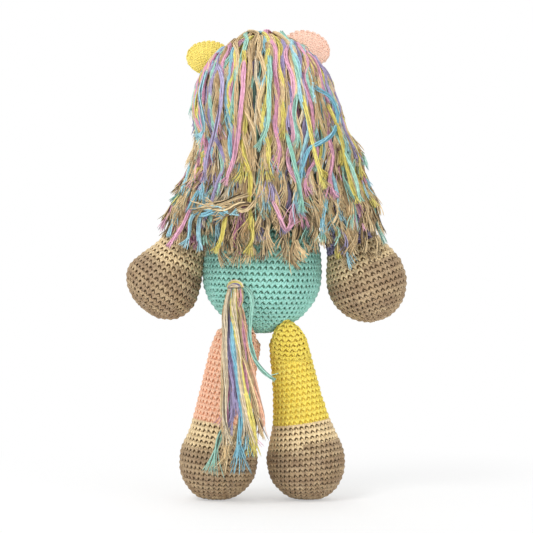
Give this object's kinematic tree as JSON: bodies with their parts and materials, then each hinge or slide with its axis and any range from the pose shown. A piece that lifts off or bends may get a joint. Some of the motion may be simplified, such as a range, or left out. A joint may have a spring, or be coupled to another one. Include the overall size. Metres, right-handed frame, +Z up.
{
  "type": "plush horse",
  "caption": "Crocheted plush horse that stands upright, with stuffed arms and legs, a long yarn mane and a yarn tail.",
  "frame": {"origin": "on the floor, below the middle of the horse's box", "axes": "+Z up, the horse faces -Y, its left side is +X"},
  "size_m": [0.2006, 0.117, 0.3406],
  "materials": {
    "mint_yarn": "soft twisted cotton yarn, matte",
    "stuffing": "white fibre filling",
    "muzzle_yarn": "soft twisted cotton yarn, matte",
    "eye": "polished black moulded eye",
    "washer": "plain moulded washer",
    "stitch_yarn": "soft twisted cotton yarn, matte",
    "yellow_yarn": "soft twisted cotton yarn, matte",
    "peach_yarn": "soft twisted cotton yarn, matte",
    "tan_yarn": "soft twisted cotton yarn, matte",
    "aqua_yarn": "soft twisted cotton yarn, matte",
    "cream_yarn": "soft twisted cotton yarn, matte",
    "lilac_yarn": "soft twisted cotton yarn, matte",
    "pink_yarn": "soft twisted cotton yarn, matte",
    "hoof_yarn": "soft twisted cotton yarn, matte"
  },
  "bodies": {
    "torso": {"torso_shell": "mint_yarn", "torso_stuffing": "stuffing"},
    "neck": {"neck_seam": "mint_yarn"},
    "head": {"head_shell": "mint_yarn", "head_stuffing": "stuffing", "muzzle_shell": "muzzle_yarn", "muzzle_stuffing": "stuffing", "eye_left": "eye", "eye_washer_left": "washer", "eye_right": "eye", "eye_washer_right": "washer", "nostril_left": "stitch_yarn", "nostril_right": "stitch_yarn", "ear_left": "yellow_yarn", "ear_right": "peach_yarn", "mane_crest": "tan_yarn", "mane_lock_1": "tan_yarn", "mane_lock_2": "mint_yarn", "mane_lock_3": "aqua_yarn", "mane_lock_4": "tan_yarn", "mane_lock_5": "cream_yarn", "mane_lock_6": "lilac_yarn", "mane_lock_7": "tan_yarn", "mane_lock_8": "yellow_yarn", "mane_lock_9": "pink_yarn", "mane_lock_10": "tan_yarn", "mane_lock_11": "aqua_yarn", "mane_lock_12": "tan_yarn", "mane_lock_13": "cream_yarn", "forelock_1": "tan_yarn", "forelock_2": "cream_yarn", "forelock_3": "tan_yarn", "forelock_4": "pink_yarn", "forelock_5": "aqua_yarn"},
    "shoulder_left": {"shoulder_seam_left": "pink_yarn"},
    "arm_left": {"arm_left_sleeve": "pink_yarn", "arm_left_hoof": "hoof_yarn", "arm_left_stuffing": "stuffing"},
    "shoulder_right": {"shoulder_seam_right": "lilac_yarn"},
    "arm_right": {"arm_right_sleeve": "lilac_yarn", "arm_right_hoof": "hoof_yarn", "arm_right_stuffing": "stuffing"},
    "hip_left": {"hip_seam_left": "peach_yarn"},
    "leg_left": {"leg_left_upper": "peach_yarn", "leg_left_hoof": "hoof_yarn", "leg_left_stuffing": "stuffing"},
    "hip_right": {"hip_seam_right": "yellow_yarn"},
    "leg_right": {"leg_right_upper": "yellow_yarn", "leg_right_hoof": "hoof_yarn", "leg_right_stuffing": "stuffing"},
    "tail": {"tail_knot": "cream_yarn", "tail_lock_1": "tan_yarn", "tail_lock_2": "lilac_yarn", "tail_lock_3": "aqua_yarn", "tail_lock_4": "yellow_yarn", "tail_lock_5": "pink_yarn", "tail_lock_6": "mint_yarn"}
  },
  "joints": [
    {"name": "head_nod", "type": "hinge", "parent": "torso", "child": "neck", "pos_m": [0.00177, 0.00592, 0.228], "axis": [1, 0, 0], "range_deg": [-8, 20]},
    {"name": "head_turn", "type": "hinge", "parent": "neck", "child": "head", "pos_m": [0.00177, 0.00592, 0.228], "axis": [0, 0, 1], "range_deg": [-35, 35], "deforming": ["mane_lock_1", "mane_lock_2", "mane_lock_3", "mane_lock_4", "mane_lock_5", "mane_lock_6", "mane_lock_7", "mane_lock_8", "mane_lock_9", "mane_lock_10", "mane_lock_11", "mane_lock_12", "mane_lock_13"]},
    {"name": "arm_left_swing", "type": "hinge", "parent": "torso", "child": "shoulder_left", "pos_m": [0.03677, 0.00592, 0.224], "axis": [-1, 0, 0], "range_deg": [-15, 90]},
    {"name": "arm_left_lift", "type": "hinge", "parent": "shoulder_left", "child": "arm_left", "pos_m": [0.03677, 0.00592, 0.224], "axis": [0, -1, 0], "range_deg": [0, 90]},
    {"name": "leg_left_swing", "type": "hinge", "parent": "torso", "child": "hip_left", "pos_m": [0.02176, 0.00592, 0.10937], "axis": [-1, 0, 0], "range_deg": [-10, 80]},
    {"name": "leg_left_splay", "type": "hinge", "parent": "hip_left", "child": "leg_left", "pos_m": [0.02176, 0.00592, 0.10937], "axis": [0, -1, 0], "range_deg": [-2, 30]},
    {"name": "arm_right_swing", "type": "hinge", "parent": "torso", "child": "shoulder_right", "pos_m": [-0.03324, 0.00592, 0.224], "axis": [-1, 0, 0], "range_deg": [-15, 90]},
    {"name": "arm_right_lift", "type": "hinge", "parent": "shoulder_right", "child": "arm_right", "pos_m": [-0.03324, 0.00592, 0.224], "axis": [0, 1, 0], "range_deg": [0, 90]},
    {"name": "leg_right_swing", "type": "hinge", "parent": "torso", "child": "hip_right", "pos_m": [-0.01824, 0.00592, 0.10937], "axis": [-1, 0, 0], "range_deg": [-10, 80]},
    {"name": "leg_right_splay", "type": "hinge", "parent": "hip_right", "child": "leg_right", "pos_m": [-0.01824, 0.00592, 0.10937], "axis": [0, 1, 0], "range_deg": [-2, 30]},
    {"name": "tail_lift", "type": "hinge", "parent": "torso", "child": "tail", "pos_m": [0.02346, 0.04716, 0.1545], "axis": [0.885, -0.4657, 0], "range_deg": [0, 80], "deforming": ["tail_lock_1", "tail_lock_2", "tail_lock_3", "tail_lock_4", "tail_lock_5", "tail_lock_6"]}
  ]
}
